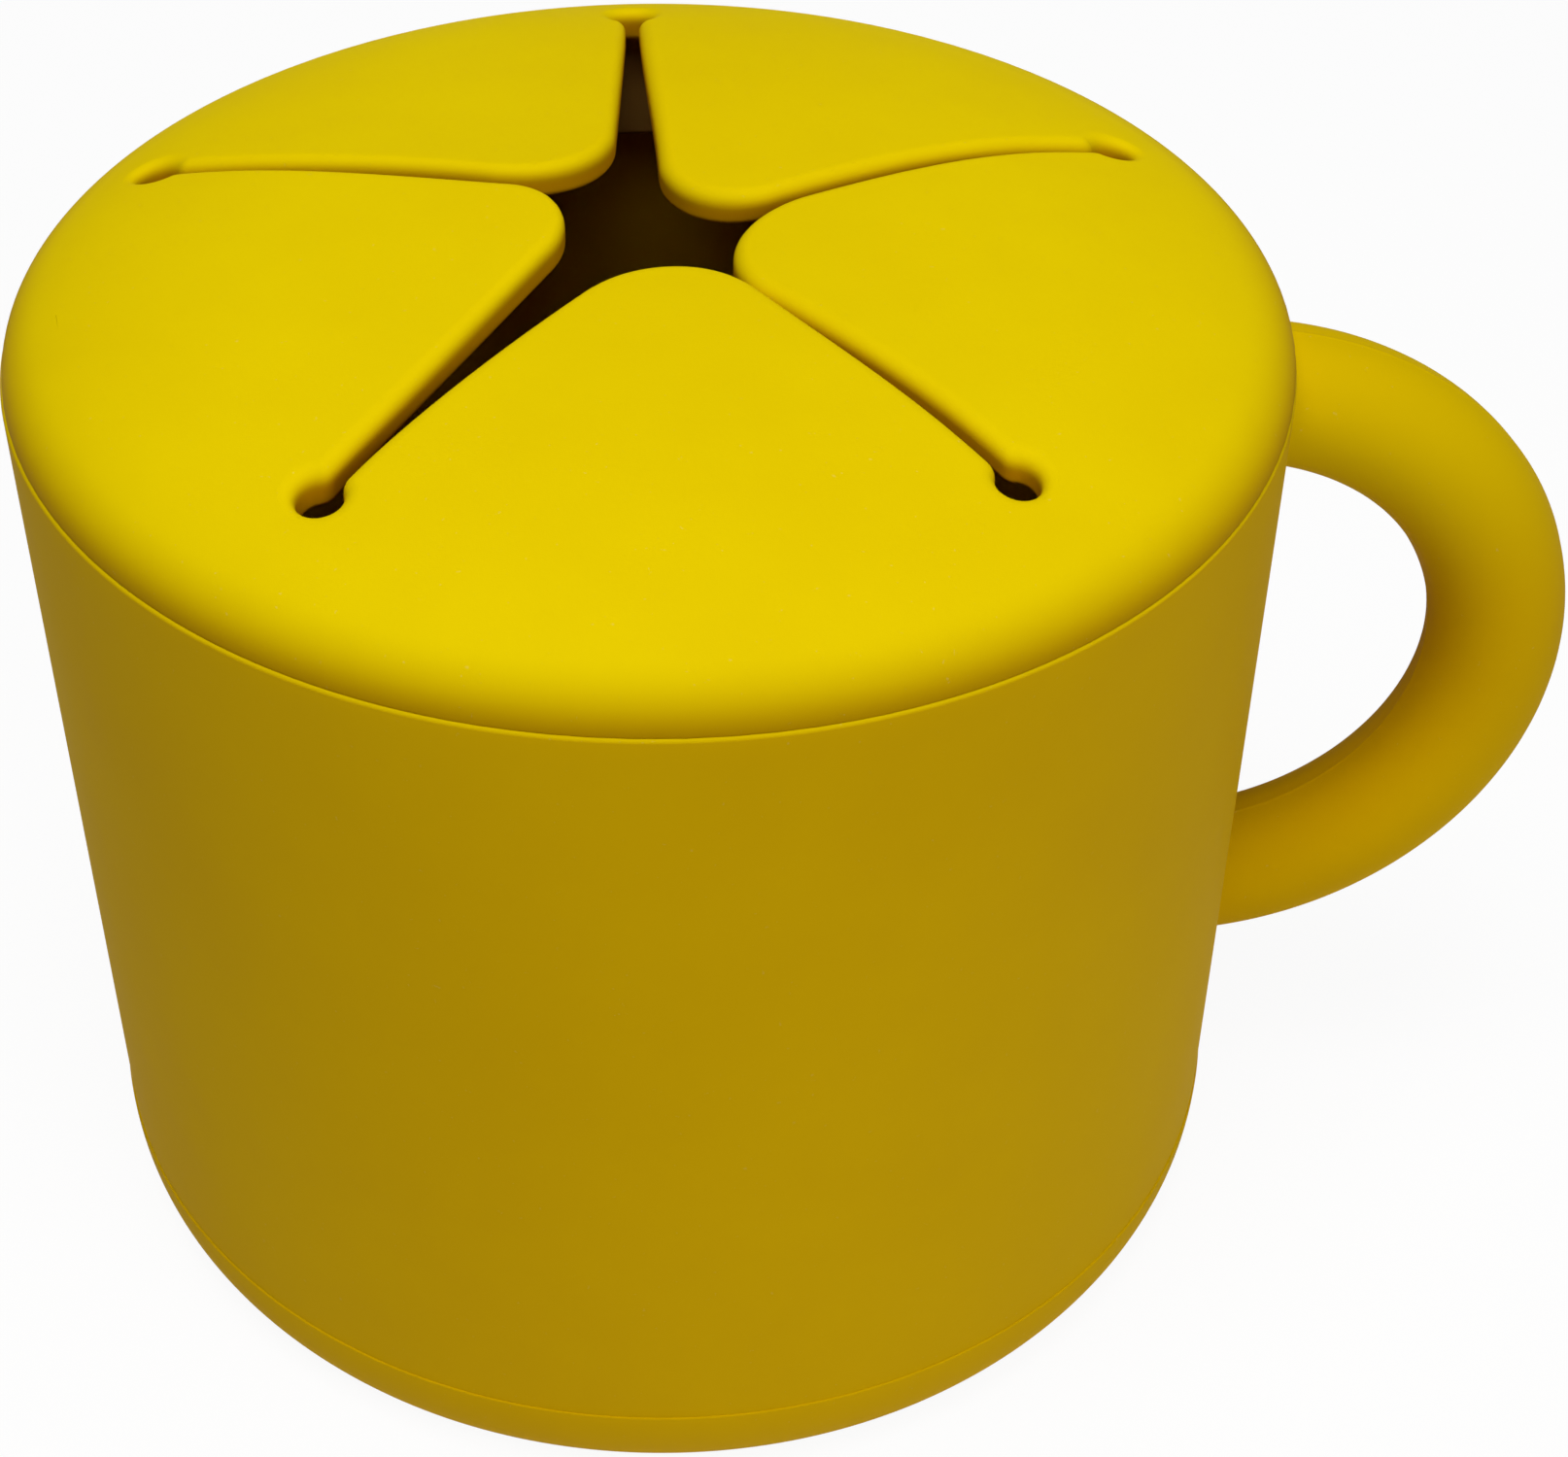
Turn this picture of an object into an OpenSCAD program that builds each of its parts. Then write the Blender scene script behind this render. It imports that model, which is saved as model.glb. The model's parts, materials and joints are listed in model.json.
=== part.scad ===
// Toddler snack cup, all in soft silicone: a cup with one ring handle, and a press-on lid
// whose five flaps let a small hand in and stop the snacks from falling out.
// Millimetres, +Z up. The origin is the centre of the underside, and the handle is on +X.

/* [Cup] */
// Outer diameter at the rim
rim_d = 90; // [84:1:96]
// Height of the rim above the table
cup_h = 71.5; // [66:0.5:80]
// How far the wall leans in from the rim to the foot band, on each side
wall_draft = 0.9; // [0:0.1:2]
// Thickness of the wall
wall_t = 2.6; // [2:0.1:3]
// Radius of the rim's rounded edges
rim_round = 0.35; // [0.2:0.05:0.6]
// Thickness of the floor
floor_t = 3; // [2:0.5:4]
// Height of the foot band, up to the parting line
foot_h = 7; // [6:0.5:9]
// How far the foot band curves in at the table, on each side
foot_tuck = 2.2; // [1:0.1:4]

/* [Handle] */
// Diameter of the ring, along the middle of its grip
ring_d = 46.4; // [40:0.2:48]
// Thickness of the round grip
grip_d = 10.4; // [8:0.2:12]
// Height of the ring's centre
ring_z = 42; // [38:0.5:42]
// Distance of the ring's centre from the cup's axis
ring_x = 40.3; // [38:0.1:42]

/* [Lid] */
// Rise of the dome above the rim
lid_rise = 8.5; // [7:0.1:11]
// How far the lid's edge stands in from the rim's outer edge
lid_inset = 0.3; // [0.1:0.05:0.5]
// Thickness of the dome at its middle
lid_t = 2.4; // [2:0.1:2.8]
// Depth of the skirt that plugs the cup's mouth
skirt_h = 7; // [5:0.5:10]
// Thickness of the skirt
skirt_t = 2.2; // [1.6:0.1:2.4]
// Gap between the skirt and the cup's wall
skirt_gap = 0.5; // [0.4:0.05:0.6]
// How far the sealing rib stands out of the skirt
rib_out = 0.35; // [0.2:0.05:0.35]

/* [Flaps] */
// Width of the opening between the flaps' tips
star_d = 13; // [11:0.5:18]
// Width of the slits between the flaps
slit_w = 1.5; // [1.4:0.1:2]
// Diameter of the round hole that ends each slit
relief_d = 3.6; // [3.4:0.1:4.6]
// Distance of the round holes' centres from the rim's outer edge
relief_inset = 9; // [8.6:0.1:11]
// Gap round a flap's rounded root, and at its ends
root_gap = 0.15; // [0.1:0.05:0.2]
// How far a flap lifts, in degrees
flap_lift = 40; // [20:5:45]
// How far a flap is pushed in, in degrees
flap_push = 65; // [45:5:70]

/* [Hidden] */
$fn = 96;

cup_colour = [0.72, 0.58, 0.04];
lid_colour = [0.89, 0.80, 0.02];

rim_r = rim_d / 2;
foot_r = rim_r - wall_draft;
mouth_r = rim_r - wall_t;
foot_power = 2.4;             // 2 is a plain parabola, more keeps the curve near the table
fillet_r = foot_h - floor_t;  // round corner between floor and wall, inside

skirt_r = mouth_r - skirt_gap;
skirt_in = skirt_r - skirt_t;
lid_r = rim_r - lid_inset;
rib_r = 0.9;                  // radius of the sealing rib's rounded section
rib_z = cup_h - 0.7 * skirt_h;
lead_in = 0.8;                // chamfer at the foot of the skirt

dome_power = 3.5;             // 2 is an ellipse, more makes the dome flatter and its edge rounder
under_power = 3.6;
dome_steps = 20;
arc_steps = 10;

flap_count = 5;
flap_step = 360 / flap_count;
half_step = flap_step / 2;
first_flap = -half_step / 2;  // direction of right_flap, beside the handle
relief_x = rim_r - relief_inset;
hinge_x = relief_x * cos(half_step);
hinge_half = relief_x * sin(half_step);
tip_x = (star_d / 2 - slit_w / 2) / (1 - sin(half_step));
tip_r = tip_x - star_d / 2;
overcut = 4;

// Outer radius of the cup's straight wall at height z
function wall_r(z) = foot_r + wall_draft * (z - foot_h) / (cup_h - foot_h);

// Height of the dome's upper and lower faces at radius r
function dome_z(r) = cup_h + lid_rise * sqrt(1 - pow(r / lid_r, dome_power));
function under_z(r) = cup_h + (lid_rise - lid_t) * sqrt(1 - pow(r / skirt_in, under_power));

// Points of an arc about c from angle a to angle b
function arc(c, r, a, b) =
    [for (i = [0:arc_steps]) let (t = a + (b - a) * i / arc_steps) c + r * [cos(t), sin(t)]];

// The root's axis lies at mid height between the dome's highest and lowest points along the hinge
hinge_end = sqrt(pow(hinge_x, 2) + pow(hinge_half - relief_d / 2, 2));
root_top = dome_z(hinge_x);
root_low = under_z(hinge_end);
hinge_z = (root_top + root_low) / 2;
root_r = (root_top - root_low) / 2;

// ---- cup

module cup_wall() {
    color(cup_colour)
        rotate_extrude()
            polygon(concat(
                [[foot_r, foot_h]],
                arc([rim_r - rim_round, cup_h - rim_round], rim_round, 0, 90),
                arc([mouth_r + rim_round, cup_h - rim_round], rim_round, 90, 180),
                [[foot_r - wall_t, foot_h]]
            ));
}

module cup_foot() {
    foot_curve = [for (i = [0:arc_steps]) let (u = i / arc_steps)
        [foot_r - foot_tuck * pow(1 - u, foot_power), foot_h * u]];
    color(cup_colour)
        rotate_extrude()
            polygon(concat(
                [[0, 0]],
                foot_curve,
                arc([foot_r - wall_t - fillet_r, foot_h], fillet_r, 0, -90),
                [[0, floor_t]]
            ));
}

// The ring ends on the cup's wall, whose cone is taken out of it
module handle() {
    cone_h = cup_h + ring_d;
    color(cup_colour)
        difference() {
            translate([ring_x, 0, ring_z])
                rotate([90, 0, 0])
                    rotate_extrude()
                        translate([ring_d / 2, 0])
                            circle(d = grip_d);
            cylinder(r1 = wall_r(0), r2 = wall_r(cone_h), h = cone_h);
        }
}

// ---- lid

// The whole dome as one sheet, which its rim and its flaps are cut from
module dome_sheet() {
    turn = [for (i = [0:dome_steps]) 90 * i / dome_steps];
    upper = [for (a = turn) let (r = lid_r * sin(a)) [r, dome_z(r)]];
    lower = [for (a = turn) let (r = skirt_in * sin(90 - a)) [r, under_z(r)]];
    rotate_extrude()
        polygon(concat(upper, lower));
}

// The space that a flap's root turns in: a round groove, opened by a tangent wedge for each limit
module root_seat() {
    seat_r = root_r + root_gap;
    down = [sin(flap_push), -cos(flap_push)];
    up = [sin(flap_lift), cos(flap_lift)];
    down_out = [-cos(flap_push), -sin(flap_push)];
    up_out = [-cos(flap_lift), sin(flap_lift)];
    translate([hinge_x, 0, hinge_z])
        rotate([90, 0, 0])
            translate([0, 0, -hinge_half])
                linear_extrude(2 * hinge_half)
                    union() {
                        circle(r = seat_r);
                        polygon([[0, 0], [-overcut, -overcut], seat_r * down + overcut * down_out,
                                 seat_r * down]);
                        polygon([[0, 0], seat_r * up, seat_r * up + overcut * up_out]);
                    }
}

// The round holes on either side of a flap
module relief_holes() {
    for (side = [-1, 1])
        rotate(side * half_step)
            translate([relief_x, 0, cup_h])
                cylinder(d = relief_d, h = lid_rise + overcut);
}

module lid_dome() {
    color(lid_colour)
        difference() {
            dome_sheet();
            rotate(first_flap + half_step)
                translate([0, 0, cup_h - overcut])
                    cylinder(r = relief_x, h = lid_rise + 2 * overcut, $fn = flap_count);
            for (i = [0:flap_count - 1])
                rotate(first_flap + i * flap_step) {
                    root_seat();
                    relief_holes();
                }
        }
}

module lid_skirt() {
    rib_c = skirt_r + rib_out - rib_r;
    rib_half = acos((skirt_r - rib_c) / rib_r);
    color(lid_colour)
        rotate_extrude()
            polygon(concat(
                [[skirt_in, cup_h - skirt_h], [skirt_r - lead_in, cup_h - skirt_h],
                 [skirt_r, cup_h - skirt_h + lead_in]],
                arc([rib_c, rib_z], rib_r, -rib_half, rib_half),
                [[skirt_r, cup_h], [skirt_in, cup_h]]
            ));
}

// One flap, pointing out along the direction it is turned to
module flap(direction) {
    root_x = hinge_x + root_r;
    root_side = root_x * tan(half_step) - slit_w / 2 / cos(half_step);
    color(lid_colour)
        rotate(direction)
            difference() {
                intersection() {
                    dome_sheet();
                    translate([0, 0, cup_h])
                        linear_extrude(lid_rise + overcut)
                            polygon(concat(
                                arc([tip_x, 0], tip_r, 90 + half_step, 270 - half_step),
                                [[root_x, -root_side], [root_x, root_side]]
                            ));
                    union() {
                        translate([0, -rim_r, cup_h])
                            cube([hinge_x, rim_d, lid_rise + overcut]);
                        translate([hinge_x, hinge_half - root_gap, hinge_z])
                            rotate([90, 0, 0])
                                cylinder(r = root_r, h = 2 * (hinge_half - root_gap));
                    }
                }
                relief_holes();
            }
}

module right_flap() { flap(first_flap); }
module back_right_flap() { flap(first_flap + flap_step); }
module back_left_flap() { flap(first_flap + 2 * flap_step); }
module left_flap() { flap(first_flap + 3 * flap_step); }
module front_flap() { flap(first_flap + 4 * flap_step); }

cup_wall();
cup_foot();
handle();
lid_dome();
lid_skirt();
right_flap();
back_right_flap();
back_left_flap();
left_flap();
front_flap();
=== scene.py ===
import json
import math

import bmesh
import bpy
import numpy as np
from mathutils import Matrix, Vector


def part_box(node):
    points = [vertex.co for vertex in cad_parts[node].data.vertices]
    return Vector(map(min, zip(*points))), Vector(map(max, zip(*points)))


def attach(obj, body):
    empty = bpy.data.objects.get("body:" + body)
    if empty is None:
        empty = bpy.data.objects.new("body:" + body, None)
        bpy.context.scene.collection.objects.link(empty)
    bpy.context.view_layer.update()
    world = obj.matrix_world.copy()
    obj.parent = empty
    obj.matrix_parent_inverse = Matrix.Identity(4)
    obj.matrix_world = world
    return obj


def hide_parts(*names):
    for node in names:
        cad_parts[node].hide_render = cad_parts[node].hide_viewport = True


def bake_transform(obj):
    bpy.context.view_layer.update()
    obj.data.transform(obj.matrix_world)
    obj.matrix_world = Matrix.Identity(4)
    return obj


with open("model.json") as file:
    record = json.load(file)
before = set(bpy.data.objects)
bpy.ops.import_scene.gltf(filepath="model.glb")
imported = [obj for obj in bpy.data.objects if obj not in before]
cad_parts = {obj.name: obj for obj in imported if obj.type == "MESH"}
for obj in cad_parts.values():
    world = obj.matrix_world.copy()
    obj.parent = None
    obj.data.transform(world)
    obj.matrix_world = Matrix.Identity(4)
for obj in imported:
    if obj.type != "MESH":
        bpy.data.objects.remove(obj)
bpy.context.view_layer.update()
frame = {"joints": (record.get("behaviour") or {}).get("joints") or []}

mm = 0.001

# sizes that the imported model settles
wallLow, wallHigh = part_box("cup_wall")
rimRadius = wallHigh.x
rimHeight = wallHigh.z
footHeight = wallLow.z
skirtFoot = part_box("lid_skirt")[0].z
hinges = {joint["child"]: joint for joint in frame["joints"] if joint["type"] == "hinge"}
flapNames = list(hinges)
halfStep = math.pi / len(flapNames)
hingeReach = math.hypot(*hinges[flapNames[0]]["pos_m"][:2])   # from the axis to the middle of a flap's root
reliefReach = hingeReach / math.cos(halfStep)                 # from the axis to a relief hole's centre


def spin(profile, azimuths):
    # each (radius, height) of the profile is carried round the Z axis to every azimuth
    r, z = profile[:, 0, None], profile[:, 1, None]
    return np.stack([r * np.cos(azimuths), r * np.sin(azimuths), z + 0 * azimuths], -1)


def arc(centre, radius, start, end, steps):
    # points on a circle about centre, from angle start to angle end in degrees
    t = np.radians(np.linspace(start, end, steps))
    return np.asarray(centre) + radius * np.stack([np.cos(t), np.sin(t)], -1)


def run(start, end, steps):
    # evenly spaced points on a straight line, without its first point
    t = np.linspace(0, 1, steps + 1)[1:, None]
    return np.asarray(start) * (1 - t) + np.asarray(end) * t


def gridFaces(rows, cols, closed):
    # a quad between each pair of neighbouring rows and columns; closed joins the last column to the first
    a = np.arange(rows * cols).reshape(rows, cols)
    b = np.roll(a, -1, 1) if closed else a[:, 1:]
    a = a if closed else a[:, :-1]
    return np.stack([a[:-1], b[:-1], b[1:], a[1:]], -1).reshape(-1, 4)


meshing = {
    "weld": 0.002 * mm,           # points closer than this become one
    "tiny": 0.0005 * mm,          # and edges shorter than this go
    "sharpAngle": 50,             # an edge that turns more than this, in degrees, stays crisp
}


def buildPiece(name, grids):
    # grids are (points, closed) pairs; they are welded where they meet, and their faces turned outwards
    corners, faces, count = [], [], 0
    for points, closed in grids:
        rows, cols = points.shape[:2]
        corners.append(points.reshape(-1, 3))
        faces.append(gridFaces(rows, cols, closed) + count)
        count += rows * cols
    mesh = bpy.data.meshes.new(name)
    mesh.from_pydata(np.concatenate(corners).tolist(), [], np.concatenate(faces).tolist())
    work = bmesh.new()
    work.from_mesh(mesh)
    bmesh.ops.remove_doubles(work, verts=work.verts, dist=meshing["weld"])
    bmesh.ops.dissolve_degenerate(work, edges=work.edges, dist=meshing["tiny"])
    bmesh.ops.recalc_face_normals(work, faces=work.faces)
    work.to_mesh(mesh)
    openEdges = sum(len(edge.link_faces) != 2 for edge in work.edges)
    work.free()
    mesh.polygons.foreach_set("use_smooth", [True] * len(mesh.polygons))
    mesh.set_sharp_from_angle(angle=math.radians(meshing["sharpAngle"]))
    piece = bpy.data.objects.new(name, mesh)
    bpy.context.scene.collection.objects.link(piece)
    print(f"{name}: {len(mesh.polygons)} faces, {openEdges} open edges")
    return piece


def pointsOf(piece):
    # every point of a piece, as rows of x, y and z
    points = np.empty(len(piece.data.vertices) * 3, np.float32)
    piece.data.vertices.foreach_get("co", points)
    return points.reshape(-1, 3).astype(float)


def reshape(piece, move):
    # puts every point of a piece through a function that moves points
    piece.data.vertices.foreach_set("co", move(pointsOf(piece)).astype(np.float32).ravel())


softness = {
    # the soft cup and lid aren't quite round: cosine and sine parts, in millimetres at the rim, of
    # one, two and three waves round them
    "waves": [(-0.41, 0.16), (-0.34, -0.02), (-0.14, 0.17)],
    "footAside": (0.2, -0.12),    # and the foot stands this far aside, in millimetres
}


def waves(azimuth, parts):
    # a sum over n of a cosine and a sine of n times the azimuth
    return sum(c * np.cos(n * azimuth) + s * np.sin(n * azimuth) for n, (c, s) in enumerate(parts, 1))


def drift(azimuth, z):
    # how far the wall goes outwards: the waves in full at the rim, giving way to the foot's own lean
    share = np.clip((z - footHeight) / (rimHeight - footHeight), 0, 1)
    atRim = waves(azimuth, softness["waves"])
    atFoot = waves(azimuth, [softness["footAside"]])
    return (atRim * share + atFoot * (1 - share)) * mm


def softened(points):
    # radii grow by the drift, in proportion to the radius
    x, y, z = points.T
    scale = 1 + drift(np.arctan2(y, x), z) / rimRadius
    return np.stack([x * scale, y * scale, z], -1)


class Signal:
    # a socket's output as a value that Python operators work on
    def __init__(self, shade, socket):
        self.shade, self.socket = shade, socket

    def maths(self, operation, *values):
        return self.shade.node("ShaderNodeMath", {"operation": operation}, dict(enumerate(values)))

    def __add__(self, other):
        return self.maths("ADD", self, other)

    def __radd__(self, other):
        return self.maths("ADD", other, self)

    def __sub__(self, other):
        return self.maths("SUBTRACT", self, other)

    def __rsub__(self, other):
        return self.maths("SUBTRACT", other, self)

    def __mul__(self, other):
        return self.maths("MULTIPLY", self, other)

    def __rmul__(self, other):
        return self.maths("MULTIPLY", other, self)

    def atLeast(self, other):
        return self.maths("MAXIMUM", self, other)

    def atMost(self, other):
        return self.maths("MINIMUM", self, other)

    def between(self, low, high):
        # 0 at low, 1 at high, eased in between
        settings = {"interpolation_type": "SMOOTHSTEP"}
        return self.shade.node("ShaderNodeMapRange", settings, {0: self, 1: low, 2: high})


class Shade:
    # one node tree, filled through a single method
    def __init__(self, tree):
        self.tree = tree
        tree.nodes.clear()

    def node(self, kind, settings=None, inputs=None, output=0):
        node = self.tree.nodes.new(kind)
        for key, value in (settings or {}).items():
            setattr(node, key, value)
        for key, value in (inputs or {}).items():
            if isinstance(value, Signal):
                self.tree.links.new(value.socket, node.inputs[key])
            else:
                node.inputs[key].default_value = value
        return Signal(self, node.outputs[output]) if node.outputs else node

    def mixColour(self, factor, first, second):
        # first is a colour or a signal, and second is a colour
        if not isinstance(first, Signal):
            first = [*first, 1]
        return self.node("ShaderNodeMix", {"data_type": "RGBA"}, {0: factor, 6: first, 7: [*second, 1]}, 2)

    def noise(self, place, scale, detail=2, roughness=0.5):
        inputs = {"Vector": place, "Scale": scale, "Detail": detail, "Roughness": roughness}
        return self.node("ShaderNodeTexNoise", None, inputs)

    def seenRays(self):
        # 1 for the camera's rays and for those off shine and through glass, 0 for the light's own
        rays = self.node("ShaderNodeLightPath").socket.node.outputs
        glossy, through = Signal(self, rays["Is Glossy Ray"]), Signal(self, rays["Is Transmission Ray"])
        return Signal(self, rays["Is Camera Ray"]).atLeast(glossy).atLeast(through)


def newMaterial(name):
    material = bpy.data.materials.new(name)
    material.use_nodes = True
    return material, Shade(material.node_tree)


def wear(piece, material):
    piece.data.materials.clear()
    piece.data.materials.append(material)


siliconeLook = {
    # linear colours
    # the lid and the cup are one silicone: the lid's colour is its painted lit copy and the cup's its
    # painted shaded copy
    "lid": (0.77, 0.57, 0.0),       # the lid and its flaps: the silicone's painted lit copy, lighter and yellower as it faces the light
    "crown": (0.45, 0.255, 0.0),    # painted shade: the lid where its crown comes down to the rim and turns from the light
    "cut": (0.64, 0.30, 0.0),       # painted shade on the lid's cut edges, deeper and browner as in their shade
    "inside": (0.42, 0.21, 0.04),   # painted shade on its inside and underside
    "cup": (0.60, 0.365, 0.0),      # the cup and its handle: the silicone's painted shaded copy, darker and browner on the upright wall
    "rim": (0.60, 0.425, 0.0),      # painted light on the cup's upper edge, which catches the light from above
    "handleLitTop": (0.63, 0.425, 0.0),   # painted light: the handle's upper side, yellower as it faces the light
    "dust": (0.85, 0.78, 0.55),
    # where one colour turns to the other
    "crownShadeDrop": 3.8 * mm,          # from this height above the rim down to it
    "rimLightDrop": 0.25 * mm,           # from this depth below the rim up to it
    "handleLitFrom": 46 * mm,          # heights on the handle between which its top's painted light comes in
    "handleLitTo": 64 * mm,
    "cutFrom": 0.2 * mm,            # depths under the lid's top skin where the painted shade of the cut edges comes in
    "cutTo": 1.5 * mm,
    # depths where the deeper painted shade of the inside comes in
    "insideFrom": 2.25 * mm,
    "insideTo": 4.5 * mm,
    # the pigment's broad clouds and fine haze: noise scales per metre, shares, and the two tints that
    # they swing between, as red and green factors
    "cloudScale": 26,
    "hazeScale": 140,
    "cloudShare": 1.6,
    "hazeShare": 0.5,
    "deepTint": (0.95, 0.92),
    "lightTint": (1.04, 1.06),
    "dustScale": 2600,
    "dustFrom": 0.70,               # specks lie where their noise is above these
    "dustTo": 0.78,
    "dustShare": 0.06,
    # the surface
    "roughness": 0.66,
    "roughnessHaze": 0.12,          # how much the haze and the dust change it
    "roughnessDust": 0.1,
    "grainScale": 2200,
    "grainHaze": 1.5,               # the haze's share in the grain
    "grainDepth": 0.012 * mm,       # depth of the fine mould texture
    "grainStrength": 0.25,
    "shine": 0.02,                  # silicone that looks almost dry
    "shineTint": [1, 0.86, 0.35, 1],
}


def tinted(colour, factors):
    # a colour with its red and green multiplied
    return (colour[0] * factors[0], colour[1] * factors[1], colour[2])


def silicone(name, colour, paintedTone, paintedFrom, paintedTo, withDepthShade=False):
    # an even pigment with broad, faint clouds, a fine moulded grain, and specks of dust that scatter
    # light; between two heights the pigment turns to a painted tone: painted light on the rim and the
    # handle's top, painted shade on the crown
    look = siliconeLook
    material, shade = newMaterial(name)
    place = shade.node("ShaderNodeTexCoord", None, None, 3)
    height = shade.node("ShaderNodeSeparateXYZ", None, {"Vector": place}, 2)
    clouds = shade.noise(place, look["cloudScale"], 3)
    haze = shade.noise(place, look["hazeScale"], 4, 0.6)
    swing = (clouds - 0.5) * look["cloudShare"] + (haze - 0.5) * look["hazeShare"]
    deep, light = tinted(colour, look["deepTint"]), tinted(colour, look["lightTint"])
    pigment = shade.mixColour((0.5 + swing).atLeast(0).atMost(1), deep, light)
    # painted light or painted shade, as the caller gives, between two heights
    pigment = shade.mixColour(height.between(paintedFrom, paintedTo), pigment, paintedTone)
    dust = shade.noise(place, look["dustScale"], 2).between(look["dustFrom"], look["dustTo"])
    pigment = shade.mixColour(dust * look["dustShare"], pigment, look["dust"])
    # painted shade: the cut walls turn deeper and browner with depth under the lid's skin
    if withDepthShade:
        depth = shade.node("ShaderNodeAttribute", {"attribute_name": "depth"}, None, 2)
        pigment = shade.mixColour(depth.atMost(1), pigment, look["cut"])
        # painted shade: darker still on the lid's inside and underside
        pigment = shade.mixColour((depth - 1).atLeast(0), pigment, look["inside"])
    grain = shade.noise(place, look["grainScale"], 3, 0.6) + haze * look["grainHaze"]
    roughness = look["roughness"] + (haze - 0.5) * look["roughnessHaze"] + dust * look["roughnessDust"]
    bump = shade.node("ShaderNodeBump", None, {
        "Strength": look["grainStrength"], "Distance": look["grainDepth"], "Height": grain})
    surface = shade.node("ShaderNodeBsdfPrincipled", None, {
        "Base Color": pigment,
        "Roughness": roughness,
        "Normal": bump,
        "Specular IOR Level": look["shine"],
        "Specular Tint": look["shineTint"],
    })
    shade.node("ShaderNodeOutputMaterial", None, {"Surface": surface})
    return material


cupShape = {
    "wallDraft": 0.9 * mm,
    "wallThickness": 2.6 * mm,
    "rimRound": 0.25 * mm,
    "floorThickness": 3 * mm,
    "footTuck": 2.2 * mm,         # how far the foot band curves in at the table
    "footPower": 2.4,
    "footStep": 0.12 * mm,        # the foot band stands out of the wall by this much
    "footRound": 0.8 * mm,        # soft edge at the table
    "azimuthSteps": 288,
}
footRadius = rimRadius - cupShape["wallDraft"]


def wallRadius(z):
    # outer radius of the straight wall: a line from the foot band to the rim
    return footRadius + cupShape["wallDraft"] * (z - footHeight) / (rimHeight - footHeight)


def footCurve(z):
    # the foot band's radius falls by a power of the depth below the parting line
    depth = np.clip(1 - z / footHeight, 0, 1)
    return footRadius + cupShape["footStep"] - cupShape["footTuck"] * depth ** cupShape["footPower"]


def cupProfile():
    # the cup's half section, from the middle of the underside, up the outside, and down to the floor;
    # the table's soft edge is a quadratic curve from the flat to the band
    shape = cupShape
    soft, step, thick = shape["footRound"], shape["footStep"], shape["wallThickness"]
    edge = footCurve(0)
    tableSide = np.array([edge - soft, 0])
    bandSide = np.array([footCurve(soft), soft])
    t = np.linspace(0, 1, 7)[:, None]
    softEdge = (1 - t) ** 2 * tableSide + 2 * t * (1 - t) * np.array([edge, 0]) + t ** 2 * bandSide
    z = np.linspace(soft, footHeight - step, 18)[1:-1]
    band = np.stack([footCurve(z), z], -1)
    ledge = arc([footRadius, footHeight - step], step, 0, 90, 6)
    rim = arc([rimRadius - shape["rimRound"], rimHeight - shape["rimRound"]], shape["rimRound"], 0, 90, 9)
    mouth = rimRadius - thick
    innerRim = arc([mouth + shape["rimRound"], rimHeight - shape["rimRound"]], shape["rimRound"], 90, 180, 7)
    fillet = footHeight - shape["floorThickness"]
    innerFoot = footRadius - thick
    corner = arc([innerFoot - fillet, footHeight], fillet, 0, -90, 12)
    return np.concatenate([
        [[0, 0]], run([0, 0], tableSide, 14)[:-1], softEdge, band, ledge,
        run(ledge[-1], rim[0], 40)[:-1], rim, innerRim,
        run(innerRim[-1], corner[0], 30)[:-1], corner,
        run(corner[-1], [0, shape["floorThickness"]], 14),
    ])


def makeCup(material):
    azimuths = np.linspace(0, 2 * np.pi, cupShape["azimuthSteps"], endpoint=False)
    cup = buildPiece("cup_shell", [(spin(cupProfile(), azimuths), True)])
    reshape(cup, softened)
    wear(cup, material)
    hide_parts("cup_wall", "cup_foot")
    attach(cup, "cup")


handleLow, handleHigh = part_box("handle")
handleShape = {
    "gripRadius": (handleHigh.y - handleLow.y) / 2,
    "innerFlat": 0.3 * mm,        # the grip is this much flatter on the ring's inner side
    "rootRound": 0.7 * mm,        # small round where the grip meets the wall
    "rootDepth": 0.7 * mm,        # the grip's ends go this far into the wall
    "mouldLine": 0.05 * mm,       # height of the fine line that the mould leaves round the ring
    "mouldLineWidth": 0.16 * mm,
    "rootFrom": 50,               # the grip meets the wall between these turns round the ring, in degrees
    "rootTo": 110,
    "steps": 150,
}
ringRadius = (handleHigh.z - handleLow.z) / 2 - handleShape["gripRadius"]
ringHeight = (handleHigh.z + handleLow.z) / 2
ringReach = handleHigh.x - handleShape["gripRadius"] - ringRadius


def ringPoint(turn, around, stand):
    # a torus standing in the XZ plane: turn goes round the ring, around goes round the grip,
    # and stand lifts the point off the grip's surface
    flat = handleShape["innerFlat"] * np.clip(-np.cos(around), 0, 1)
    radius = ringRadius + (handleShape["gripRadius"] + stand) * np.cos(around) + flat
    side = (handleShape["gripRadius"] + stand) * np.sin(around)
    return np.stack([ringReach + radius * np.cos(turn), side + 0 * radius,
                     ringHeight + radius * np.sin(turn)], -1)


def rootTurn(around, sign):
    # bisection for the turn at which each line along the grip meets the softened wall
    near = np.full_like(around, np.radians(handleShape["rootFrom"]))
    far = np.full_like(around, np.radians(handleShape["rootTo"]))
    for _ in range(40):
        middle = (near + far) / 2
        point = ringPoint(sign * middle, around, 0)
        x, y, z = point.T
        outside = np.hypot(x, y) > wallRadius(z) + drift(np.arctan2(y, x), z)
        near, far = np.where(outside, middle, near), np.where(outside, far, middle)
    return sign * (near + far) / 2


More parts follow.
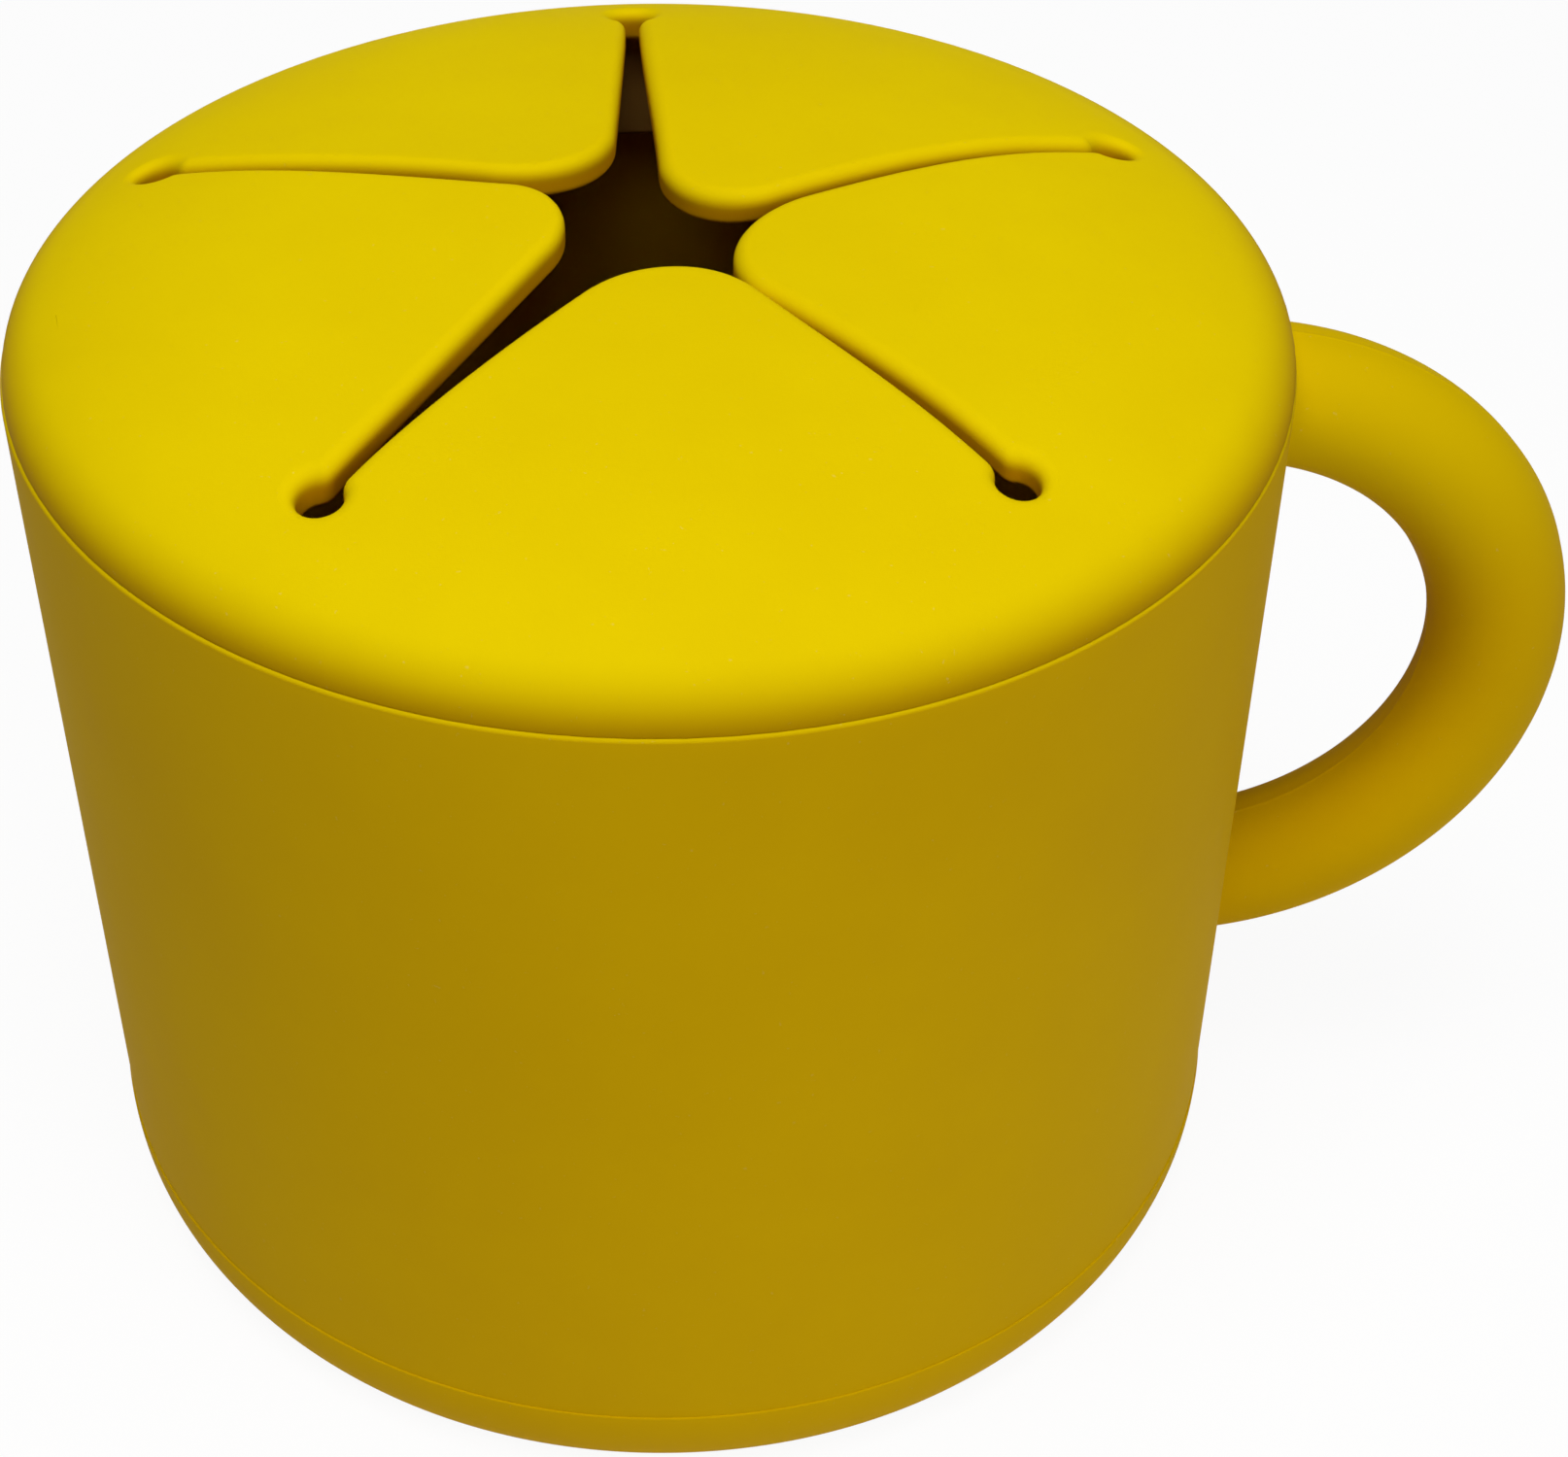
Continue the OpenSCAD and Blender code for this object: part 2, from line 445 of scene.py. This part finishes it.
def makeHandle(material):
    # a round grip carried along the ring from root to root, flaring in a small quarter circle at each;
    # the mould line is a bell curve across the ring's outer and inner middle, where the lines are closest
    shape = handleShape
    fine = np.radians([-3, -2, -1.4, -0.9, -0.4, 0, 0.4, 0.9, 1.4, 2, 3])
    coarse = np.radians(np.arange(6, 175, 5))
    around = np.concatenate([fine, coarse, math.pi + fine, math.pi + coarse])
    aside = shape["gripRadius"] * np.sin(around)
    ridge = shape["mouldLine"] * np.exp(-(aside / shape["mouldLineWidth"]) ** 2)
    perTurn = ringRadius + shape["gripRadius"] * np.cos(around)
    upper, lower = rootTurn(around, 1), rootTurn(around, -1)
    gamma = np.radians(np.linspace(0, 90, 9))
    flareAlong = shape["rootRound"] * (1 - np.cos(gamma))
    flareOut = shape["rootRound"] * (1 - np.sin(gamma))
    along = np.concatenate([[-shape["rootDepth"]], flareAlong])
    stand = np.concatenate([[shape["rootRound"]], flareOut])
    upperRows = upper - along[:, None] / perTurn
    lowerRows = lower + along[::-1, None] / perTurn
    share = np.linspace(0, 1, shape["steps"])[1:-1, None]
    middleRows = upperRows[-1] * (1 - share) + lowerRows[0] * share
    turns = np.concatenate([upperRows, middleRows, lowerRows])
    stands = np.concatenate([stand, np.zeros(len(share)), stand[::-1]])[:, None]
    points = ringPoint(turns, around[None], stands + ridge[None])
    capTop = np.repeat(points[:1].mean(1, keepdims=True), len(around), 1)
    capFoot = np.repeat(points[-1:].mean(1, keepdims=True), len(around), 1)
    handle = buildPiece("ring_handle", [(np.concatenate([capTop, points, capFoot]), True)])
    wear(handle, material)
    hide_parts("handle")
    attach(handle, "cup")


lidShape = {
    "rise": 8.4 * mm,             # of the dome above the rim
    "thickness": 2.4 * mm,
    "domePower": 2.85,
    "powerWaves": [(-0.37, -0.34), (-0.22, 0.04)],   # the crown is rounder at the back and by the handle
    "underPower": 3.6,
    "standBack": 0.1 * mm,        # the lid's edge stands this far inside the cup's rim
    "offCentre": (0.04, 0.12),    # and sits this far aside on it, in millimetres
    "asideFrom": 44 * mm,         # in full outside this radius
    "lipRound": 0.06 * mm,
    "skirtOut": 41.9 * mm,
    "skirtIn": 39.7 * mm,
    "skirtRound": 0.6 * mm,       # at the skirt's foot, outside
    "skirtInnerRound": 0.5 * mm,  # and inside
    "ribHeight": 0.35 * mm,
    "ribHalf": 0.75 * mm,         # half the sealing rib's width
    "ribPlace": 0.7,              # as a share of the way down the skirt
    "reliefRadius": 1.5 * mm,
    "slitWidth": 1.0 * mm,
    "starRadius": 6.5 * mm,       # from the star's centre to a plain flap's tip
    "keyholeRound": 1.2 * mm,     # corner between a slit and its relief hole
    "edgeRound": 1.05 * mm,       # soft upper edge along slits and holes
    "underRound": 0.4 * mm,
    "topCircle": 40.4 * mm,       # the dome is a plain surface of revolution outside this
    "underCircle": 38.7 * mm,
    # how far the soft lid carries each relief hole aside, in millimetres, from the one beside
    # the handle and then anticlockwise
    "reliefShift": [(-0.2, 3.8), (-0.75, -0.25), (-0.83, 2.4), (-0.2, 0.9), (0.45, 1.3)],
    "shiftFrom": 6 * mm,          # radii between which a hole's own shift takes over from the mean
    "shiftTo": 30 * mm,
    "fadeFrom": 38 * mm,          # and between which both fade
    "fadeTo": 44 * mm,
    "edgeSteps": 7,
    "innerSteps": 26,
    "wallSteps": 6,               # down the cut edges and the root lines
    "sideSteps": 30,              # lines of a relief hole's fan to each side
    "outerSteps": 71,             # and outwards
}
lidEdge = rimRadius - lidShape["standBack"]


def domeHeight(xy):
    # a flattened dome: its rise times the square root of 1 less a power of the radius, and the power
    # varies a little round it
    r, azimuth = np.hypot(xy[..., 0], xy[..., 1]), np.arctan2(xy[..., 1], xy[..., 0])
    power = lidShape["domePower"] + waves(azimuth, lidShape["powerWaves"])
    return rimHeight + lidShape["rise"] * np.sqrt(np.clip(1 - (r / lidEdge) ** power, 0, 1))


def underHeight(r):
    # the same for the under side, which ends at the skirt
    rise = lidShape["rise"] - lidShape["thickness"]
    share = np.clip(1 - (r / lidShape["skirtIn"]) ** lidShape["underPower"], 0, 1)
    return rimHeight + rise * np.sqrt(share)


def turned(xy, angle):
    # points in the plane turned anticlockwise about the origin
    c, s = math.cos(angle), math.sin(angle)
    return np.stack([c * xy[..., 0] - s * xy[..., 1], s * xy[..., 0] + c * xy[..., 1]], -1)


def eased(value, start, end):
    # 0 before start, 1 after end, and 3 t squared less 2 t cubed in between
    t = np.clip((value - start) / (end - start), 0, 1)
    return t * t * (3 - 2 * t)


def seat(xy):
    # carries the star with the pressed-on lid: the shifts of the relief holes are joined round the
    # lid by a sum of cosines that meets each of them, even out towards the middle, and fade at the rim
    shape = lidShape
    shifts = np.array(shape["reliefShift"]) * mm
    r = np.hypot(xy[..., 0], xy[..., 1])
    holes = flapDirection(flapNames[0]) + halfStep * np.arange(1, 2 * len(shifts), 2)
    away = np.arctan2(xy[..., 1], xy[..., 0])[..., None] - holes
    local = (1 + 2 * np.cos(away) + 2 * np.cos(2 * away)) / len(shifts) @ shifts
    middle = shifts.mean(0)
    carried = middle + (local - middle) * eased(r, shape["shiftFrom"], shape["shiftTo"])[..., None]
    return xy + carried * (1 - eased(r, shape["fadeFrom"], shape["fadeTo"]))[..., None]


def edgeRings(rounding):
    # inset and drop of the rings of a quarter round, from the side wall to the flat
    beta = np.radians(np.linspace(0, 90, lidShape["edgeSteps"]))
    return rounding * (1 - np.cos(beta)), rounding * (1 - np.sin(beta))


def innerShares():
    # shares of the way from the end of the edge round to the far side, closer together near the edge
    return np.linspace(0, 1, lidShape["innerSteps"] + 1)[1:] ** 1.4


def sheetFrom(edge, inward, target, rounding, upper):
    # a skin from a cut edge to its target: a quarter round first, then straight lines across
    inset, drop = edgeRings(rounding)
    near = edge[None] + inward[None] * inset[:, None, None]
    share = innerShares()[:, None, None]
    far = near[-1:] * (1 - share) + target[None] * share
    xy = seat(np.concatenate([near, far]))
    drop = np.concatenate([drop, np.zeros(len(far))])[:, None]
    z = domeHeight(xy) - drop if upper else underHeight(np.hypot(xy[..., 0], xy[..., 1])) + drop
    return np.concatenate([xy, z[..., None]], -1)


def between(first, second, steps):
    # straight rows between two lines of points
    t = np.linspace(0, 1, steps + 1)[:, None, None]
    return first[None] * (1 - t) + second[None] * t


def closeSheets(top, under):
    # the wall of the cut edge, and the walls along the two root lines, between an upper and a lower skin
    edges = (top[0], under[0]), (top[:, 0], under[:, 0]), (top[:, -1], under[:, -1])
    return [(between(upper, lower, lidShape["wallSteps"]), False) for upper, lower in edges]


def reliefSector(direction, circle, rounding, upper):
    # the dome round one relief hole: lines fan out from the hole to the circle, and to the radial lines
    # half way to the next holes; rim marks the lines that end on the circle
    reach, hole = reliefReach, lidShape["reliefRadius"]
    limit = math.pi / 2 + halfStep
    corner = math.atan2(circle * math.sin(halfStep), circle * math.cos(halfStep) - reach)
    side = np.linspace(corner, limit, lidShape["sideSteps"])
    outer = np.linspace(-corner, corner, lidShape["outerSteps"])[1:-1]
    angles = np.concatenate([-side[::-1], outer, side])
    chord = np.sqrt(np.clip(circle ** 2 - (reach * np.sin(angles)) ** 2, 0, None))
    onCircle = chord - reach * np.cos(angles)
    # a line that leans less than halfStep never meets a radial line, and takes the circle
    gap = np.sin(np.maximum(np.abs(angles) - halfStep, 1e-6))
    onLine = np.where(np.abs(angles) > halfStep + 0.01, reach * math.sin(halfStep) / gap, 1)
    out = np.stack([np.cos(angles), np.sin(angles)], -1)
    centre = np.array([reach, 0])
    edge = centre + hole * out
    target = centre + np.minimum(onCircle, onLine)[:, None] * out
    edge, out, target = (turned(part, direction) for part in (edge, out, target))
    rim = np.abs(angles) <= corner + 1e-9
    return sheetFrom(edge, out, target, rounding, upper), rim


def lidOuterProfile():
    # from the edge of the plain dome, over the crown to the lip, under it and down the skirt, and how
    # many of the rows are the crown's; the sealing rib is a parabola across its width
    shape = lidShape
    a = np.linspace(math.asin(shape["topCircle"] / lidEdge), math.pi / 2, 44)
    r = lidEdge * np.sin(a)
    z = domeHeight(np.stack([0 * r, r], -1))
    lip, lipTop = shape["lipRound"], rimHeight + 1.8 * shape["lipRound"]
    crown = np.stack([r, z], -1)[z > lipTop]
    lipArc = arc([lidEdge - lip, rimHeight + lip], lip, 0, -90, 7)
    out, inner = shape["skirtOut"], shape["skirtIn"]
    outRound, inRound = shape["skirtRound"], shape["skirtInnerRound"]
    ribAt = rimHeight - shape["ribPlace"] * (rimHeight - skirtFoot)
    z = np.linspace(rimHeight, skirtFoot + outRound, 60)[1:]
    rib = shape["ribHeight"] * np.clip(1 - ((z - ribAt) / shape["ribHalf"]) ** 2, 0, 1)
    skirt = np.stack([out + rib, z], -1)
    skirtEnd = arc([out - outRound, skirtFoot + outRound], outRound, 0, -90, 6)[1:]
    innerEnd = arc([inner + inRound, skirtFoot + inRound], inRound, -90, -180, 6)
    b = np.linspace(math.pi / 2, math.asin(shape["underCircle"] / inner), 12)[1:]
    under = inner * np.sin(b)
    return len(crown), np.concatenate([
        crown, lipArc, run(lipArc[-1], [out, rimHeight], 5), skirt, skirtEnd, innerEnd,
        run(innerEnd[-1], [inner, rimHeight], 10), np.stack([under, underHeight(under)], -1),
    ])


def markDepth(piece):
    # how far each point of a lid's piece lies under the dome's skin: 0 on it, 1 where the painted shade of
    # the cut edges is full, and 2 where the deeper painted shade of the inside is; the outside of the skirt
    # has neither
    points, look = pointsOf(piece), siliconeLook
    below = domeHeight(points[:, :2]) - points[:, 2]
    depth = eased(below, look["cutFrom"], look["cutTo"]) + eased(below, look["insideFrom"], look["insideTo"])
    depth *= np.hypot(points[:, 0], points[:, 1]) < (lidShape["skirtIn"] + lidShape["skirtOut"]) / 2
    piece.data.attributes.new("depth", "FLOAT", "POINT").data.foreach_set("value", depth.astype(np.float32))


def settled(points):
    # moves the lid's edge aside on the rim, while its skirt stays in the cup's mouth
    inner = lidShape["skirtOut"] + lidShape["ribHeight"]
    share = eased(np.hypot(points[:, 0], points[:, 1]), inner, lidShape["asideFrom"])
    return points + share[:, None] * np.array([*lidShape["offCentre"], 0]) * mm


def makeLid(material):
    grids, topStart, underEnd = [], [], []
    for name in flapNames:
        direction = flapDirection(name) + halfStep
        top, rim = reliefSector(direction, lidShape["topCircle"], lidShape["edgeRound"], True)
        under, underRim = reliefSector(direction, lidShape["underCircle"], lidShape["underRound"], False)
        grids += [(top, False), (under, False)] + closeSheets(top, under)
        topStart.append(top[-1, rim][:-1])
        underEnd.append(under[-1, underRim][:-1])
    topStart, underEnd = np.concatenate(topStart), np.concatenate(underEnd)
    # the ring outside the sectors takes its columns from their outer points, so that they weld
    crownRows, profile = lidOuterProfile()
    startAngle = np.unwrap(np.arctan2(topStart[:, 1], topStart[:, 0]))
    endAngle = np.unwrap(np.arctan2(underEnd[:, 1], underEnd[:, 0]))
    share = np.linspace(0, 1, len(profile))[:, None]
    azimuths = startAngle * (1 - share) + endAngle * share
    ring = spin(profile, azimuths)
    ring[:crownRows, :, 2] = domeHeight(ring[:crownRows, :, :2])
    ring[0], ring[-1] = topStart, underEnd
    grids.append((ring, True))
    lid = buildPiece("lid_shell", grids)
    markDepth(lid)
    reshape(lid, lambda points: softened(settled(points)))
    wear(lid, material)
    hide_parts("lid_dome", "lid_skirt")
    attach(lid, "lid")


flapShape = {
    "bend": 9 * mm,               # a flap bends over this length from its root
    "halfWidth": 8 * mm,          # where its twist and widening below are measured
    # how each soft flap hangs, in millimetres at the tip: droop, twist, sideways and outward lean,
    # widening, and its tip's distance from the star's centre
    "rest": {
        "right_flap": (-0.84, 0.22, -0.55, 0.05, 0.0, 6.4),
        "back_right_flap": (-1.05, -0.3, -0.36, -0.18, -0.5, 5.3),
        "back_left_flap": (0.75, 0.62, 1.05, 0.92, -1.5, 6.5),
        "left_flap": (1.04, -0.34, -0.7, 1.15, -0.67, 4.8),
        "front_flap": (-0.34, -0.05, 1.16, 0.26, -0.67, 6.3),
    },
}


def flapDirection(name):
    x, y = hinges[name]["pos_m"][:2]
    return math.atan2(y, x)


def flapOutline(star):
    # the cut edge of a flap that points along +X: hole arc, keyhole corner, slit, tip arc, and back,
    # with the direction into the flap at each point
    shape = lidShape
    hole, slit, corner = shape["reliefRadius"], shape["slitWidth"] / 2, shape["keyholeRound"]
    towards = -np.array([math.cos(halfStep), math.sin(halfStep)])
    across = np.array([math.sin(halfStep), -math.cos(halfStep)])
    holeAt = -reliefReach * towards
    along = math.sqrt((hole + corner) ** 2 - (slit + corner) ** 2)
    cornerAt = holeAt + along * towards + (slit + corner) * across
    toCorner = math.degrees(math.atan2(*(cornerAt - holeAt)[::-1])) % 360
    holeArc = arc(holeAt, hole, 270, toCorner, 14)
    slitSide = math.degrees(math.atan2(*(-across)[::-1])) % 360
    cornerArc = arc(cornerAt, corner, toCorner - 180, slitSide, 12)[1:]
    tipAt = np.array([(star - slit) / (1 - math.sin(halfStep)), 0])
    tipRadius = tipAt[0] - star
    tipArc = arc(tipAt, tipRadius, 90 + math.degrees(halfStep), 180, 40)
    slitLine = run(cornerArc[-1], tipArc[0], 44)[:-1]
    edge = np.concatenate([holeArc, cornerArc, slitLine, tipArc])
    inward = np.concatenate([
        (holeArc - holeAt) / hole,
        (cornerAt - cornerArc) / corner,
        np.repeat(across[None], len(slitLine), 0),
        (tipAt - tipArc) / tipRadius,
    ])
    mirror = np.array([1, -1])
    return (np.concatenate([edge, edge[-2::-1] * mirror]),
            np.concatenate([inward, inward[-2::-1] * mirror]))


def hang(points, name):
    # bends a flap as it hangs: each lean grows with the square of the distance from the root
    droop, twist, aside, out, wider = (value * mm for value in flapShape["rest"][name][:5])
    direction = flapDirection(name)
    local = turned(points[:, :2], -direction)
    s = np.clip((hingeReach - local[:, 0]) / (hingeReach - lidShape["starRadius"]), 0, None) ** 2
    across = local[:, 1] / flapShape["halfWidth"]
    lean = turned(np.stack([out * s, (aside + wider * across) * s], -1), direction)
    lift = (droop + twist * across) * s
    return points + np.concatenate([lean, lift[:, None]], -1)


def makeFlap(name, material):
    edge, inward = flapOutline(flapShape["rest"][name][5] * mm)
    direction = flapDirection(name)
    root = np.repeat([[hingeReach, 0]], len(edge), 0)
    edge, inward, root = (turned(part, direction) for part in (edge, inward, root))
    top = sheetFrom(edge, inward, root, lidShape["edgeRound"], True)
    under = sheetFrom(edge, inward, root, lidShape["underRound"], False)
    grids = [(top, False), (under, False)] + closeSheets(top, under)
    flap = buildPiece(name + "_skin", grids)
    markDepth(flap)
    reshape(flap, lambda points: softened(hang(points, name)))
    wear(flap, material)
    # the innermost point of the root line, measured along the flap's direction
    innermost = turned(softened(top[-1])[:, :2], -direction)[:, 0].min()
    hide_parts(name)
    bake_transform(flap)


studio = {
    "floorTone": 0.9,
    "floorSize": 3.0,             # metres
    "floorWhite": 0.93,           # share of the floor's picture that is plain white
    "worldLevel": 0.03,
    "lampSize": 0.35,
    "lamps": {                    # place in metres, and watts
        "soft_above": ((0, -0.028, 0.84), 1.4),
        "soft_left": ((-0.104, -0.179, 0.813), 3.0),
        "soft_front": ((0, -0.4, 0.733), 0.9),
        "soft_right": ((0.427, -0.546, 0.44), 1.5),
    },
}


def makeFloor():
    material, shade = newMaterial("studio_floor")
    seen = shade.seenRays()
    tone = studio["floorTone"]
    matt = shade.node("ShaderNodeBsdfDiffuse", None, {"Color": [tone, tone, tone, 1]})
    white = shade.node("ShaderNodeEmission", None, {"Color": [1, 1, 1, 1], "Strength": 1.0})
    mixed = shade.node("ShaderNodeMixShader", None, {0: seen * studio["floorWhite"], 1: matt, 2: white})
    shade.node("ShaderNodeOutputMaterial", None, {"Surface": mixed})
    half = studio["floorSize"] / 2
    corners = [(-half, -half, 0), (half, -half, 0), (half, half, 0), (-half, half, 0)]
    mesh = bpy.data.meshes.new("floor")
    mesh.from_pydata(corners, [], [(0, 1, 2, 3)])
    floor = bpy.data.objects.new("floor", mesh)
    bpy.context.scene.collection.objects.link(floor)
    wear(floor, material)


def makeWorld():
    world = bpy.data.worlds.new("studio")
    bpy.context.scene.world = world
    world.use_nodes = True
    shade = Shade(world.node_tree)
    level = studio["worldLevel"]
    strength = level + shade.seenRays() * (1 - level)
    background = shade.node("ShaderNodeBackground", None, {"Color": [1, 1, 1, 1], "Strength": strength})
    shade.node("ShaderNodeOutputWorld", None, {"Surface": background})


def areaLight(name, place, size, power):
    # a square soft light aimed at the middle of the cup
    data = bpy.data.lights.new(name, "AREA")
    data.shape = "SQUARE"
    data.size = size
    data.energy = power
    lamp = bpy.data.objects.new(name, data)
    lamp.location = place
    aim = Vector((0, 0, rimHeight / 2)) - Vector(place)
    lamp.rotation_mode = "QUATERNION"
    lamp.rotation_quaternion = aim.to_track_quat("-Z", "Y")
    bpy.context.scene.collection.objects.link(lamp)


def makeLights():
    for name, (place, power) in studio["lamps"].items():
        areaLight(name, place, studio["lampSize"], power)


cameraSetup = {
    "distance": 230.8 * mm,       # from the point on the axis that it is aimed at
    "aimHeight": 35 * mm,
    "elevation": 39.68,
    "azimuth": -1.51,             # turns the camera a little away from the handle
    "roll": -0.434,
    "sensor": 36,
    "lens": 68.4,
    "shiftX": 0.0798,
    "shiftY": -0.001,
}


def makeCamera():
    setup = cameraSetup
    elevation, azimuth = math.radians(setup["elevation"]), math.radians(setup["azimuth"])
    level = Vector((math.sin(azimuth), -math.cos(azimuth), 0)) * math.cos(elevation)
    back = level + Vector((0, 0, math.sin(elevation)))
    data = bpy.data.cameras.new("camera")
    data.sensor_width = setup["sensor"]
    data.lens = setup["lens"]
    data.shift_x, data.shift_y = setup["shiftX"], setup["shiftY"]
    data.clip_start, data.clip_end = 0.01, 20
    camera = bpy.data.objects.new("camera", data)
    aim = Vector((0, 0, setup["aimHeight"]))
    roll = Matrix.Rotation(math.radians(setup["roll"]), 3, "Z")
    turn = (-back).to_track_quat("-Z", "Y").to_matrix() @ roll
    camera.matrix_world = Matrix.Translation(aim + back * setup["distance"]) @ turn.to_4x4()
    bpy.context.scene.collection.objects.link(camera)
    bpy.context.scene.camera = camera


bpy.context.scene.view_settings.view_transform = "Standard"
makeCamera()
makeFloor()
makeWorld()
makeLights()
print("studio: floor, light and camera")

# the cup takes the painted shaded copy of the one silicone, and the lid its painted lit copy
look = siliconeLook
rimLightFrom, crownShadeFrom = rimHeight - look["rimLightDrop"], rimHeight + look["crownShadeDrop"]
# painted light: the cup's upper edge takes a yellower, lit tone
cupSilicone = silicone("cup_silicone", look["cup"], look["rim"], rimLightFrom, rimHeight)
# painted light: the handle turns yellower towards its top, as lit from above
handleSilicone = silicone(
    "handle_silicone", look["cup"], look["handleLitTop"], look["handleLitFrom"], look["handleLitTo"])
# painted shade: the lid turns darker and browner where its crown comes down to the rim
lidSilicone = silicone("lid_silicone", look["lid"], look["crown"], crownShadeFrom, rimHeight, True)
makeCup(cupSilicone)
makeHandle(handleSilicone)
print("cup: shell and ring handle")
makeLid(lidSilicone)
for flapName in flapNames:
    makeFlap(flapName, lidSilicone)
print("lid: dome, skirt and flaps")
